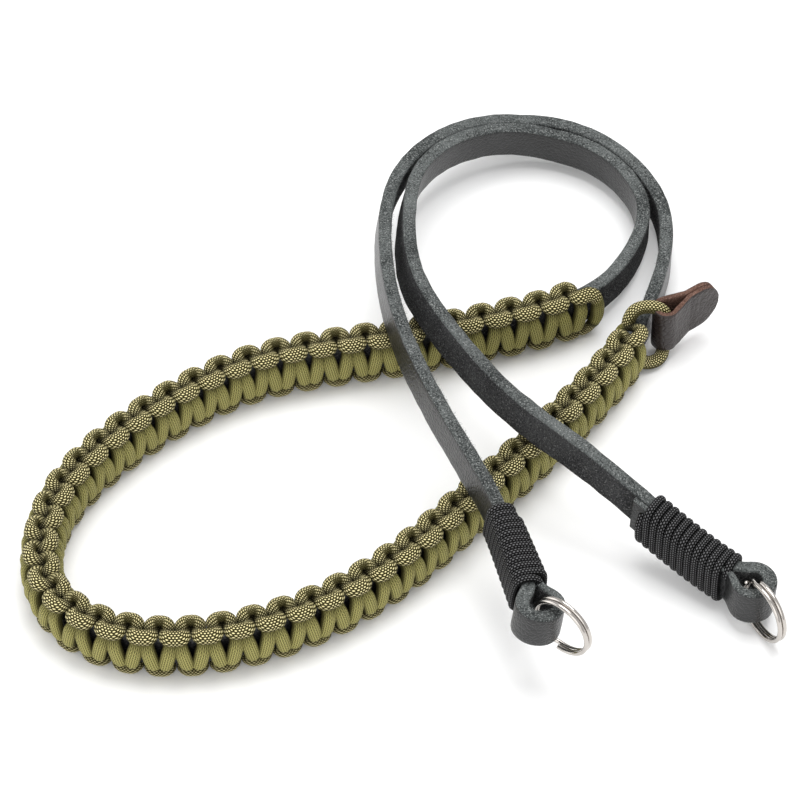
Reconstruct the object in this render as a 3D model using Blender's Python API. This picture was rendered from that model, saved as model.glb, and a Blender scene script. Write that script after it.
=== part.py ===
"""Neck strap for a camera: leather core, cord braid, whipped ends, split rings and label tab.

The strap lies coiled on the floor plane z = 0, standing on its edge. Metres, +Z up.
The origin is the middle of the strap's bounding box, at its bottom.
"""
import math

import bmesh
import bpy
import numpy as np

# Driving sizes
STRAP_LENGTH = 0.980
STRAP_WIDTH = 0.0098
STRAP_THICKNESS = 0.0035
STRAP_EDGE_ROUND = 0.0005
CLEARANCE = 0.0003

CORD_DIAMETER = 0.0040
KNOT_PITCH = 0.00778
KNOT_COUNT = 50
BRAID_MIDDLE = 0.5057

WHIPPING_CORD = 0.0021
WHIPPING_TURNS = 12
WHIPPING_RISE = 0.0015
WHIPPING_VALLEY = 0.6
TAIL_THICKNESS = 0.0016
TAIL_TIP = 0.25
TAIL_SHARE = 0.80
TAIL_STUB = 0.0030
EYE_RADIUS = 0.0029
EYE_LENGTH = 0.0108
EYE_WIDEST = 0.58
RING_SEAT = 0.44

RING_DIAMETER = 0.0170
RING_WIRE = 0.0012
# Degrees round the ring, before and after its middle, over which the wire steps to its second turn
RING_STEP = 18

TAB_LENGTH = 0.0190
TAB_WIDTH = 0.0135
TAB_THICKNESS = 0.0012

LOOP_SLOPE = 0.130
RING_END_SLOPE = 0.060

# How far the cord of the braid stands over the strap's faces and its edges
BRAID_FACE = 0.78 * CORD_DIAMETER
BRAID_EDGE = 0.89 * CORD_DIAMETER
BRAID_THICKNESS = STRAP_THICKNESS + 2 * (CLEARANCE + BRAID_FACE)
BRAID_WIDTH = STRAP_WIDTH + 2 * BRAID_EDGE
CORE_HEIGHT = (BRAID_WIDTH - STRAP_WIDTH) / 2
CROSSING_HEIGHT = BRAID_WIDTH + CLEARANCE
LAYER_OFFSET = STRAP_THICKNESS + CLEARANCE
TAIL_OFFSET = (STRAP_THICKNESS + TAIL_THICKNESS) / 2 + CLEARANCE
WHIPPING_LENGTH = WHIPPING_TURNS * WHIPPING_CORD
RING_END_HEIGHT = (RING_DIAMETER - STRAP_WIDTH) / 2

# The loop of two turns: bearing in degrees about its middle, the outer turn's radius, and how far
# the inner turn lies inside it beyond touching. Lengths are hundredths of the strap's length.
LOOP_MIDDLE = (3.45, 4.90)
LOOP_TURNS = (
    (185, 3.82, 0.25), (160, 3.70, 0.12), (135, 3.82, 0.07), (110, 4.09, 0.11), (85, 4.22, 0.08),
    (60, 4.10, 0.00), (38, 3.93, 0.00), (16, 3.84, 0.14), (-6, 3.77, 0.44),
)

# Where the strap lies, from the left ring to the loop, through the braid, and from the loop to the
# right ring: x and y, in hundredths of the strap's length.
LEFT_RUN = (
    (3.17, -8.32), (2.85, -7.08), (2.48, -5.78), (1.88, -4.33), (1.24, -2.91), (0.63, -1.42),
    (0.10, 0.14), (-0.27, 1.84), (-0.39, 3.40),
)
BRAID_RUN = (
    (6.70, 2.45), (6.20, 1.25), (4.90, -0.76), (3.34, -2.69), (1.73, -4.50), (0.02, -6.32),
    (-1.83, -7.70), (-3.93, -8.59), (-6.13, -8.84), (-7.95, -8.26), (-8.85, -7.24), (-9.10, -5.85),
    (-8.76, -4.33), (-7.67, -2.66), (-5.88, -1.01), (-3.87, 0.18), (-1.59, 0.79), (0.71, 1.25),
    (3.00, 1.86), (4.57, 2.45), (5.38, 3.04),
)
RIGHT_RUN = (
    (0.26, 3.86), (0.53, 1.97), (1.21, 0.49), (1.95, -0.75), (2.72, -1.84), (3.55, -2.77),
    (4.45, -3.60), (5.44, -4.39), (6.49, -5.19), (7.42, -5.88), (8.43, -6.64),
)

# How far the strap leans: share of its length, and degrees towards its flesh side
LEAN = (
    (0.00, 6), (0.10, 6), (0.17, 9), (0.21, 5), (0.26, 0), (0.78, 0), (0.83, -8), (0.87, -16),
    (0.92, -9), (1.00, -4),
)

# The cord's end loop that holds the label tab, beside the braid's last knot: how far beyond it,
# out from the strap's middle and above the floor, in cord diameters
TAB_LOOP = (
    (-0.90, 0.85, 3.70), (-0.10, 1.00, 4.48), (0.60, 1.22, 5.12), (1.12, 1.36, 5.04),
    (1.45, 1.43, 4.38), (1.47, 1.43, 3.40), (1.47, 1.43, 2.20), (1.45, 1.43, 1.26),
    (1.12, 1.42, 0.66), (0.60, 1.36, 0.50), (-0.10, 1.12, 0.58), (-0.90, 0.85, 0.95),
)
TAB_LOOP_STATION = 1.47
TAB_LOOP_OFFSET = 1.43
TAB_UNDERSIDE = 1.09
TAB_BEARING = 33


def clear_scene():
    for thing in list(bpy.data.objects):
        bpy.data.objects.remove(thing, do_unlink=True)


def material(name, colour, roughness, metallic=0.0):
    mat = bpy.data.materials.new(name)
    mat.use_nodes = True
    shader = mat.node_tree.nodes["Principled BSDF"]
    shader.inputs["Base Color"].default_value = (*colour, 1.0)
    shader.inputs["Roughness"].default_value = roughness
    shader.inputs["Metallic"].default_value = metallic
    return mat


def loop_points(inner_turn):
    """The loop's turn as points, from its left side over the top to its right side."""
    nesting = 100 * LAYER_OFFSET / STRAP_LENGTH
    points = []
    for bearing, radius, spread in LOOP_TURNS:
        if inner_turn:
            radius -= nesting + spread
        angle = math.radians(bearing)
        points.append((LOOP_MIDDLE[0] + radius * math.cos(angle), LOOP_MIDDLE[1] + radius * math.sin(angle)))
    return points


def smooth_line(points, samples):
    """A natural cubic spline through the points, as many samples and their distance along it."""
    chord = np.r_[0, np.cumsum(np.linalg.norm(np.diff(points, axis=0), axis=1))]
    span = np.diff(chord)
    count = len(points)
    system = np.eye(count)
    load = np.zeros(points.shape)
    for i in range(1, count - 1):
        system[i, i - 1:i + 2] = span[i - 1], 2 * (span[i - 1] + span[i]), span[i]
        after = (points[i + 1] - points[i]) / span[i]
        before = (points[i] - points[i - 1]) / span[i - 1]
        load[i] = 6 * (after - before)
    bend = np.linalg.solve(system, load)
    along = np.linspace(0, chord[-1], samples)
    k = np.clip(np.searchsorted(chord, along, side="right") - 1, 0, count - 2)
    h = span[k][:, None]
    left = (chord[k + 1] - along)[:, None]
    right = (along - chord[k])[:, None]
    line = (bend[k] * left ** 3 + bend[k + 1] * right ** 3) / (6 * h)
    line += (points[k] / h - bend[k] * h / 6) * left + (points[k + 1] / h - bend[k + 1] * h / 6) * right
    distance = np.r_[0, np.cumsum(np.linalg.norm(np.diff(line, axis=0), axis=1))]
    return line, distance


def ramp(distance, length):
    """1 at no distance, 0 from length on, level at both ends."""
    share = np.clip(np.abs(distance) / length, 0, 1)
    return 0.5 * (1 + np.cos(math.pi * share))


class Route:
    """The middle of the strap's upper edge, from the left whipping's outer end to the right one's."""

    def __init__(self):
        rows = list(LEFT_RUN) + loop_points(False) + list(BRAID_RUN)
        rows += loop_points(True)[::-1] + list(RIGHT_RUN)
        self.line, self.station = smooth_line(np.array(rows) * STRAP_LENGTH / 100, 6001)
        self.length = self.station[-1]
        tangent = np.gradient(self.line, axis=0)
        self.tangent = tangent / np.linalg.norm(tangent, axis=1)[:, None]
        half = (KNOT_COUNT - 1) * KNOT_PITCH / 2
        self.first_knot = BRAID_MIDDLE * self.length - half
        self.last_knot = BRAID_MIDDLE * self.length + half
        self.braid_start = self.first_knot - 0.1 * KNOT_PITCH
        self.braid_end = self.last_knot + 0.4 * KNOT_PITCH
        self.height = self.heights()

    def crossing(self, first, last):
        """The first and last station, between two, where the strap lies over the braid."""
        inside = (self.station > self.braid_start) & (self.station < self.braid_end)
        braid = self.line[inside][::10]
        reach = (BRAID_THICKNESS + STRAP_THICKNESS) / 2 + CLEARANCE
        over = []
        for point, station in zip(self.line[::5], self.station[::5]):
            near = np.min(np.linalg.norm(braid - point, axis=1)) < reach
            if near and first < station < last:
                over.append(station)
        return over[0], over[-1]

    def heights(self):
        """Height of the strap's lower edge: as the braid carries it, and over the braid."""
        s = self.station
        mouth = 3 * BRAID_THICKNESS
        left = self.crossing(0, self.braid_start - mouth)
        right = self.crossing(self.braid_end + mouth, self.length)
        before = np.where(s < left[1], CROSSING_HEIGHT, CROSSING_HEIGHT * ramp(s - left[1], LOOP_SLOPE))
        after = CROSSING_HEIGHT * ramp(np.minimum(s - right[0], 0), LOOP_SLOPE)
        drop = (CROSSING_HEIGHT - RING_END_HEIGHT) * ramp(s - right[1], RING_END_SLOPE)
        after = np.where(s > right[1], RING_END_HEIGHT + drop, after)
        inside = (s >= self.braid_start) & (s <= self.braid_end)
        outside = np.maximum(np.where(s < self.braid_start, before, after), CORE_HEIGHT)
        return np.where(inside, CORE_HEIGHT, outside)

    def frame(self, station):
        """Point on the upper edge's middle, and the directions along, across to the flesh and up."""
        s = min(max(station, 0.0), self.length)
        x, y = (float(np.interp(s, self.station, self.line[:, i])) for i in (0, 1))
        tx, ty = (float(np.interp(s, self.station, self.tangent[:, i])) for i in (0, 1))
        size = math.hypot(tx, ty)
        along = np.array((tx / size, ty / size, 0.0))
        x += along[0] * (station - s)
        y += along[1] * (station - s)
        shares = [share for share, _ in LEAN]
        lean = math.radians(np.interp(s / self.length, shares, [angle for _, angle in LEAN]))
        flesh = np.array((along[1], -along[0], 0.0))
        rise = np.array((0.0, 0.0, 1.0))
        up = flesh * math.sin(lean) + rise * math.cos(lean)
        across = flesh * math.cos(lean) - rise * math.sin(lean)
        bottom = float(np.interp(s, self.station, self.height))
        top = bottom + STRAP_WIDTH * math.cos(lean) + STRAP_THICKNESS / 2 * abs(math.sin(lean))
        return np.array((x, y, top)), along, across, up


def rounded_box(wide, tall, corner, steps):
    """Outline of a box with round corners about (0, 0), anticlockwise."""
    outline = []
    for quarter in range(4):
        middle = ((wide / 2 - corner) * (1, -1, -1, 1)[quarter], (tall / 2 - corner) * (1, 1, -1, -1)[quarter])
        for step in range(steps + 1):
            angle = math.pi / 2 * (quarter + step / steps)
            outline.append((middle[0] + corner * math.cos(angle), middle[1] + corner * math.sin(angle)))
    return outline


def skin(bm, rings, closed=False):
    """Faces between rings of points that have equal counts. Returns the rings' vertices."""
    verts = [[bm.verts.new(point) for point in ring] for ring in rings]
    pairs = list(zip(verts, verts[1:]))
    if closed:
        pairs.append((verts[-1], verts[0]))
    for one, two in pairs:
        count = len(one)
        for i in range(count):
            j = (i + 1) % count
            bm.faces.new((one[i], one[j], two[j], two[i]))
    return verts


def cap(bm, *loops):
    """A flat face over one ring of vertices, or between an outer ring and an inner one."""
    edges = []
    for loop in loops:
        for i, vert in enumerate(loop):
            edges.append(bm.edges.get((vert, loop[(i + 1) % len(loop)])))
    bmesh.ops.triangle_fill(bm, use_beauty=True, edges=edges)


def finish(name, bm, mat, smooth_angle=40):
    bmesh.ops.recalc_face_normals(bm, faces=bm.faces)
    mesh = bpy.data.meshes.new(name)
    bm.to_mesh(mesh)
    bm.free()
    mesh.materials.append(mat)
    mesh.shade_smooth()
    mesh.set_sharp_from_angle(angle=math.radians(smooth_angle))
    thing = bpy.data.objects.new(name, mesh)
    bpy.context.scene.collection.objects.link(thing)
    return thing


def swept_bar(name, rings, mat):
    bm = bmesh.new()
    verts = skin(bm, rings)
    cap(bm, verts[0])
    cap(bm, verts[-1])
    return finish(name, bm, mat)


def sleeve(name, outer_rings, inner_rings, mat):
    bm = bmesh.new()
    outer = skin(bm, outer_rings)
    inner = skin(bm, inner_rings)
    cap(bm, outer[0], inner[0])
    cap(bm, outer[-1], inner[-1])
    return finish(name, bm, mat)


def place(outline, centre, across, up):
    return [tuple(centre + across * a + up * b) for a, b in outline]


def eye_path():
    """The folded end seen from above: distance beyond the whipping and out to the flesh side."""
    middle = TAIL_OFFSET / 2
    widest = EYE_WIDEST * EYE_LENGTH
    half = EYE_RADIUS + STRAP_THICKNESS / 2
    side = []
    for share in (0.05, 0.18, 0.32, 0.46, 0.60, 0.80):
        swell = share * share * (3 - 2 * share)
        side.append((widest * share, middle + (half - middle) * swell))
    steps = 7
    for i in range(steps):
        angle = math.pi / 2 * i / steps
        side.append((widest + (EYE_LENGTH - widest) * math.sin(angle), half * math.cos(angle)))
    near = [(beyond, middle - out) for beyond, out in side]
    far = [(beyond, middle + out) for beyond, out in reversed(side)]
    return near + [(EYE_LENGTH, middle)] + far


def tail_thickness(outward, back):
    """Thickness of the pared tail. The left one thins out and ends inside its whipping."""
    if outward > 0:
        return TAIL_THICKNESS
    share = back / (TAIL_SHARE * WHIPPING_LENGTH)
    if share > 1:
        return 0.0
    return TAIL_THICKNESS * (1 - (1 - TAIL_TIP) * max(share, 0.0))


def folded_end(route, outward):
    """Stations of the eye and the tail: upper edge's middle, up, and the leather's thickness."""
    base = 0.0 if outward < 0 else route.length
    stations = []
    path = eye_path()
    for i, (along_end, to_flesh) in enumerate(path):
        pared = max(0.0, 2 * i / (len(path) - 1) - 1)
        thick = STRAP_THICKNESS + (TAIL_THICKNESS - STRAP_THICKNESS) * pared
        top, _, across, up = route.frame(base + outward * along_end)
        stations.append((top + across * to_flesh, up, thick))
    tail = TAIL_SHARE * WHIPPING_LENGTH if outward < 0 else WHIPPING_LENGTH + TAIL_STUB
    for share in (0.02, 0.2, 0.4, 0.6, 0.8, 1.0):
        thick = tail_thickness(outward, tail * share)
        top, _, across, up = route.frame(base - outward * tail * share)
        to_flesh = STRAP_THICKNESS / 2 + CLEARANCE + thick / 2
        stations.append((top + across * to_flesh, up, thick))
    return stations


def bend_spacing(route):
    """Stations along the strap, close together in its bends."""
    heading = np.unwrap(np.arctan2(route.tangent[:, 1], route.tangent[:, 0]))
    bend = np.abs(np.gradient(heading) / np.gradient(route.station))
    sag = 0.00009
    stations = [0.0]
    while stations[-1] < route.length:
        here = np.interp(stations[-1], route.station, bend)
        ahead = np.interp(stations[-1] + 0.004, route.station, bend)
        step = math.sqrt(8 * sag / max(here, ahead, 1.0))
        stations.append(stations[-1] + min(step, 0.009))
    stations[-1] = route.length
    if stations[-1] - stations[-2] < 0.002:
        stations.pop(-2)
    return stations


def leather_strap(route, mat):
    """The whole strap, folded back on itself round both rings."""
    middle = []
    for station in bend_spacing(route):
        top, _, _, up = route.frame(station)
        middle.append((top, up, STRAP_THICKNESS))
    path = folded_end(route, -1)[::-1] + middle + folded_end(route, 1)
    direction = np.gradient(np.array([top for top, _, _ in path]), axis=0)
    rings = []
    for (top, up, thick), along in zip(path, direction):
        outline = rounded_box(thick, STRAP_WIDTH, min(STRAP_EDGE_ROUND, thick / 4), 1)
        across = np.cross(along, up)
        across /= np.linalg.norm(across)
        centre = top - up * STRAP_WIDTH / 2
        rings.append(place(outline, centre, across, up))
    return swept_bar("leather_strap", rings, mat)


def braid_outline(phase):
    """The braid across one station: cord turns bulge by turns, and lie flat on the floor."""
    swell = 0.22 * CORD_DIAMETER
    groove = 0.10 * CORD_DIAMETER
    front = swell * (1 - math.cos(phase)) / 2
    back = swell * (1 + math.cos(phase)) / 2
    side = groove * (1 + math.cos(2 * phase)) / 2
    half_w = BRAID_WIDTH / 2
    half_t = BRAID_THICKNESS / 2
    lip = half_t * 0.52
    shoulder = half_w - half_t * 0.42
    return [
        (half_t - swell + front, shoulder - swell + front), (lip, half_w - swell + front),
        (-lip, half_w - swell + back), (-half_t + swell - back, shoulder - swell + back),
        (-half_t + side, 0.0),
        (-half_t + swell - front, -shoulder + swell - front), (-lip, -half_w),
        (lip, -half_w), (half_t - swell + back, -shoulder + swell - back),
        (half_t - side, 0.0),
    ]


def braid_sleeve(route, mat):
    """The braid as one hollow band round the strap, with a bulge for each turn of the cord."""
    quarters = int(round((route.braid_end - route.braid_start) / KNOT_PITCH * 4))
    hole = rounded_box(STRAP_THICKNESS + 2 * CLEARANCE, STRAP_WIDTH + 2 * CLEARANCE, 0.0, 1)[::2]
    outer = []
    inner = []
    for i in range(quarters + 1):
        station = route.braid_start + (route.braid_end - route.braid_start) * i / quarters
        phase = 2 * math.pi * (station - route.first_knot) / KNOT_PITCH
        top, _, across, up = route.frame(station)
        centre = top - up * STRAP_WIDTH / 2
        outer.append(place(braid_outline(phase), centre, across, up))
        if i % 2 == 0 or i == quarters:
            inner.append(place(hole, centre, across, up))
    return sleeve("paracord_braid", outer, inner, mat)


def tab_loop_path(route):
    """The cord's end loop, which starts and ends inside the braid's wall."""
    top, along, across, _ = route.frame(route.first_knot)
    points = []
    for beyond, out, height in TAB_LOOP:
        spot = top - along * beyond * CORD_DIAMETER - across * out * CORD_DIAMETER
        spot[2] = height * CORD_DIAMETER
        points.append(spot)
    line, distance = smooth_line(np.array(points), 400)
    stations = np.linspace(0, distance[-1], 26)
    return np.array([[np.interp(s, distance, line[:, i]) for i in range(3)] for s in stations])


def tube_rings(path, radius, sides, side_hint):
    """Rings of points round a path, kept in line with a direction that the path never follows."""
    direction = np.gradient(path, axis=0)
    rings = []
    for point, along in zip(path, direction):
        along = along / np.linalg.norm(along)
        one = np.cross(along, side_hint)
        one /= np.linalg.norm(one)
        two = np.cross(along, one)
        ring = []
        for i in range(sides):
            angle = 2 * math.pi * i / sides
            ring.append(tuple(point + radius * (one * math.cos(angle) + two * math.sin(angle))))
        rings.append(ring)
    return rings


def join(target, tool):
    """Union of two objects, the second of which is taken away."""
    union = target.modifiers.new("union", "BOOLEAN")
    union.operation = "UNION"
    union.solver = "EXACT"
    union.object = tool
    tool.hide_render = True
    tool.display_type = "WIRE"


def paracord_braid(route, mat):
    braid = braid_sleeve(route, mat)
    _, _, across, _ = route.frame(route.first_knot)
    rings = tube_rings(tab_loop_path(route), CORD_DIAMETER / 2, 8, across)
    loop = swept_bar("tab_loop_tool", rings, mat)
    join(braid, loop)
    return braid


def whipping(route, name, outward, mat):
    """Turns of cord round both layers of a folded end, as one ribbed sleeve."""
    base = 0.0 if outward < 0 else route.length
    tall = STRAP_WIDTH + 2 * CLEARANCE
    outer = []
    inner = []
    for i in range(2 * WHIPPING_TURNS + 1):
        back = WHIPPING_LENGTH * i / (2 * WHIPPING_TURNS)
        layers = tail_thickness(outward, back)
        if layers:
            layers += CLEARANCE
        wide = STRAP_THICKNESS + layers + 2 * CLEARANCE
        top, _, across, up = route.frame(base - outward * back)
        centre = top - up * STRAP_WIDTH / 2 + across * layers / 2
        grow = WHIPPING_RISE if i % 2 else WHIPPING_VALLEY * WHIPPING_RISE
        outline = rounded_box(wide + 2 * grow, tall + 2 * grow, grow, 2)
        outer.append(place(outline, centre, across, up))
        inner.append(place(rounded_box(wide, tall, 0.0, 1)[::2], centre, across, up))
    return sleeve(name, outer, inner, mat)


def eye_middle(route, outward):
    """Where the ring passes through the eye, at half the strap's width."""
    base = 0.0 if outward < 0 else route.length
    top, _, across, up = route.frame(base + outward * RING_SEAT * EYE_LENGTH)
    return top - up * STRAP_WIDTH / 2 + across * TAIL_OFFSET / 2


def split_ring(route, name, outward, bearing, lean, mat):
    """Two turns of wire through the eye, standing on edge. Bearing and lean in degrees."""
    radius = (RING_DIAMETER - RING_WIRE) / 2
    angle = math.radians(bearing)
    tip = math.radians(lean)
    out = np.array((math.cos(angle), math.sin(angle), 0.0))
    normal = np.array((-math.sin(angle) * math.cos(tip), math.cos(angle) * math.cos(tip), math.sin(tip)))
    rise = np.cross(out, normal)
    rise *= math.copysign(1.0, rise[2])
    centre = eye_middle(route, outward) + out * radius
    pitch = RING_WIRE + CLEARANCE
    step_over = math.radians(RING_STEP)
    steps = 40
    path = []
    for i in range(steps + 1):
        turn = step_over + (4 * math.pi - 2 * step_over) * i / steps
        stepped = min(max((turn - 2 * math.pi) / step_over, -1), 1)
        offset = pitch / 2 * math.sin(math.pi / 2 * stepped)
        path.append(centre + radius * (out * math.cos(turn) + rise * math.sin(turn)) + normal * offset)
    rings = tube_rings(np.array(path), RING_WIRE / 2, 6, normal)
    return swept_bar(name, rings, mat)


def tab_path():
    """The folded tab seen from above, from one free end round the cord to the other."""
    radius = (CORD_DIAMETER + TAB_THICKNESS) / 2 + CLEARANCE
    half = (TAB_THICKNESS + CLEARANCE) / 2
    meet = 2.4 * radius
    reach = TAB_LENGTH - radius
    straight = [(reach + (meet - reach) * share, half) for share in (0, 0.08, 0.2, 0.35, 0.6, 0.85, 1)]
    turn = math.radians(62)
    arc = []
    steps = 12
    for i in range(steps + 1):
        angle = turn + (2 * math.pi - 2 * turn) * i / steps
        arc.append((radius * math.cos(angle), radius * math.sin(angle)))
    return straight + arc + [(u, -v) for u, v in reversed(straight)]


def label_tab(route, mat):
    """A strip folded round the cord's end loop, its free end rounded."""
    top, along, across, _ = route.frame(route.first_knot)
    middle = top - along * TAB_LOOP_STATION * CORD_DIAMETER - across * TAB_LOOP_OFFSET * CORD_DIAMETER
    bearing = math.radians(TAB_BEARING)
    out = np.array((math.cos(bearing), math.sin(bearing), 0.0))
    side = np.array((-math.sin(bearing), math.cos(bearing), 0.0))
    up = np.array((0.0, 0.0, 1.0))
    path = np.array(tab_path())
    direction = np.gradient(path, axis=0)
    reach = path[:, 0].max()
    round_radius = TAB_WIDTH / 2
    rings = []
    for (u, v), (du, dv) in zip(path, direction):
        into_end = max(0.0, u - (reach - round_radius)) / round_radius
        half = round_radius * math.sqrt(max(1 - into_end ** 2, 0.06))
        rise = 0.10 * max(0.0, u)
        height = TAB_UNDERSIDE * CORD_DIAMETER + TAB_WIDTH / 2 + rise
        size = math.hypot(du, dv)
        across_strip = (out * dv - side * du) / size
        centre = np.array((middle[0], middle[1], height)) + out * u + side * v
        outline = rounded_box(TAB_THICKNESS, 2 * half, TAB_THICKNESS * 0.2, 1)
        rings.append(place(outline, centre, across_strip, up))
    return swept_bar("label_tab", rings, mat)


def set_origin(things):
    """Move everything so that the origin is the middle of the bounding box, at its bottom."""
    depsgraph = bpy.context.evaluated_depsgraph_get()
    low = np.full(3, np.inf)
    high = np.full(3, -np.inf)
    for thing in things:
        mesh = thing.evaluated_get(depsgraph).to_mesh()
        points = np.array([tuple(v.co) for v in mesh.vertices])
        low = np.minimum(low, points.min(axis=0))
        high = np.maximum(high, points.max(axis=0))
    shift = ((low[0] + high[0]) / 2, (low[1] + high[1]) / 2, low[2])
    for thing in bpy.context.scene.objects:
        thing.location = (-shift[0], -shift[1], -shift[2])


def main():
    clear_scene()
    route = Route()
    leather = material("black_leather", (0.022, 0.023, 0.025), 0.50)
    cord = material("olive_cord", (0.16, 0.17, 0.045), 0.75)
    black_cord = material("black_cord", (0.012, 0.012, 0.013), 0.60)
    steel = material("ring_steel", (0.74, 0.72, 0.70), 0.12, 1.0)
    brown = material("brown_leather", (0.045, 0.026, 0.020), 0.55)
    things = [
        leather_strap(route, leather),
        paracord_braid(route, cord),
        whipping(route, "whipping_left", -1, black_cord),
        whipping(route, "whipping_right", 1, black_cord),
        split_ring(route, "split_ring_left", -1, -40, 0, steel),
        split_ring(route, "split_ring_right", 1, -58, 0, steel),
        label_tab(route, brown),
    ]
    set_origin(things)


main()
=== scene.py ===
"""Looks of the coiled camera strap: leather, cord braid, whippings, split rings and label tab."""

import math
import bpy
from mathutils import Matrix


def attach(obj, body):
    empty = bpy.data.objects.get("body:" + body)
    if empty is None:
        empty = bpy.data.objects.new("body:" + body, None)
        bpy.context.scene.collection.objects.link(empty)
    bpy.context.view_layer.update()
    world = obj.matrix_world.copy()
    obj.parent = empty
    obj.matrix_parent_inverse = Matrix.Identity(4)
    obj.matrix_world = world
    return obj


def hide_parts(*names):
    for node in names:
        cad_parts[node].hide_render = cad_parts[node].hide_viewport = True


bl_info = {
    "name": "Coiled camera strap",
    "version": (1, 0, 0),
    "blender": (4, 5, 0),
    "location": "3D View > Sidebar > Strap",
    "description": "Builds the fine pieces of a coiled camera strap and its studio",
    "category": "Add Mesh",
}

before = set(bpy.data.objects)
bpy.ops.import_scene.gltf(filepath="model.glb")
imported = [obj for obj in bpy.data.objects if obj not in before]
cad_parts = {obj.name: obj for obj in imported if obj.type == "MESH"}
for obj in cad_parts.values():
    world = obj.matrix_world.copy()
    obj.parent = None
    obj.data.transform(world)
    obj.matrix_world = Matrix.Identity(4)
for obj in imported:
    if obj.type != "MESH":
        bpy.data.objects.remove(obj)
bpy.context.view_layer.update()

import bpy
import numpy as np

# Sizes in metres, as in the part, but the strap's edges are rounded 0.05 mm more here
STRAP_LENGTH = 0.980
STRAP_WIDTH = 0.0098
STRAP_THICKNESS = 0.0035
STRAP_EDGE_ROUND = 0.00055
CLEARANCE = 0.0003
CORD_DIAMETER = 0.0040
KNOT_PITCH = 0.00778
KNOT_COUNT = 50
BRAID_MIDDLE = 0.5057
WHIPPING_CORD = 0.0021
WHIPPING_TURNS = 12
WHIPPING_RISE = 0.0015
TAIL_THICKNESS = 0.0016
TAIL_TIP = 0.25
TAIL_SHARE = 0.80
TAIL_STUB = 0.0030
EYE_RADIUS = 0.0029
EYE_LENGTH = 0.0108
EYE_WIDEST = 0.58
RING_SEAT = 0.44
RING_DIAMETER = 0.0170
RING_WIRE = 0.0012
RING_STEP = 18
TAB_LENGTH = 0.0190
TAB_WIDTH = 0.0135
TAB_THICKNESS = 0.0012
LOOP_SLOPE = 0.130
RING_END_SLOPE = 0.060
BRAID_THICKNESS = STRAP_THICKNESS + 2 * (CLEARANCE + 0.78 * CORD_DIAMETER)
BRAID_WIDTH = STRAP_WIDTH + 2 * 0.89 * CORD_DIAMETER
CORE_HEIGHT = (BRAID_WIDTH - STRAP_WIDTH) / 2
CROSSING_HEIGHT = BRAID_WIDTH + CLEARANCE
LAYER_OFFSET = STRAP_THICKNESS + CLEARANCE
TAIL_OFFSET = (STRAP_THICKNESS + TAIL_THICKNESS) / 2 + CLEARANCE
WHIPPING_LENGTH = WHIPPING_TURNS * WHIPPING_CORD
RING_END_HEIGHT = (RING_DIAMETER - STRAP_WIDTH) / 2

# The braid cord's half sizes where it lies flat as a bar and where it turns over the edge
BAR_DEEP = 0.00164
BAR_WIDE = 0.00198
TURN_DEEP = 0.00134
TURN_WIDE = 0.00208

# The end loop's radius and the spacing of its rings, and the round corner of a whipping's turn
LOOP_RADIUS = 0.00178
LOOP_STEP = 0.0004
WHIPPING_CORNER = 0.0016

# How far apart the rows of the woven sheath lie: on a bar, a turn, the end loop and a whipping
BAR_ROW = 0.00078
TURN_ROW = 0.00072
LOOP_ROW = 0.00076
WHIPPING_ROW = 0.00075

# The part's origin, seen from the point that the route's tables are measured from
ORIGIN = np.array((-0.000235, 0.002536, 0.000021))

# The loop of two turns: bearing in degrees about its middle, the outer turn's radius, and how far
# the inner turn lies inside it beyond touching. Lengths are hundredths of the strap's length.
LOOP_MIDDLE = (3.45, 4.90)
LOOP_TURNS = (
    (185, 3.82, 0.25), (160, 3.70, 0.12), (135, 3.82, 0.07), (110, 4.09, 0.11), (85, 4.22, 0.08),
    (60, 4.10, 0.00), (38, 3.93, 0.00), (16, 3.84, 0.14), (-6, 3.77, 0.44),
)

# Where the strap lies, from the left ring to the loop, through the braid, and from the loop to the
# right ring: x and y, in hundredths of the strap's length.
LEFT_RUN = (
    (3.17, -8.32), (2.85, -7.08), (2.48, -5.78), (1.88, -4.33), (1.24, -2.91), (0.63, -1.42),
    (0.10, 0.14), (-0.27, 1.84), (-0.39, 3.40),
)
BRAID_RUN = (
    (6.70, 2.45), (6.20, 1.25), (4.90, -0.76), (3.34, -2.69), (1.73, -4.50), (0.02, -6.32),
    (-1.83, -7.70), (-3.93, -8.59), (-6.13, -8.84), (-7.95, -8.26), (-8.85, -7.24), (-9.10, -5.85),
    (-8.76, -4.33), (-7.67, -2.66), (-5.88, -1.01), (-3.87, 0.18), (-1.59, 0.79), (0.71, 1.25),
    (3.00, 1.86), (4.57, 2.45), (5.38, 3.04),
)
RIGHT_RUN = (
    (0.26, 3.86), (0.53, 1.97), (1.21, 0.49), (1.95, -0.75), (2.72, -1.84), (3.55, -2.77),
    (4.45, -3.60), (5.44, -4.39), (6.49, -5.19), (7.42, -5.88), (8.43, -6.64),
)

# How far the strap leans: share of its length, and degrees towards its flesh side
LEAN = (
    (0.00, 6), (0.10, 6), (0.17, 9), (0.21, 5), (0.26, 0), (0.78, 0), (0.83, -8), (0.87, -16),
    (0.92, -9), (1.00, -4),
)

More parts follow.
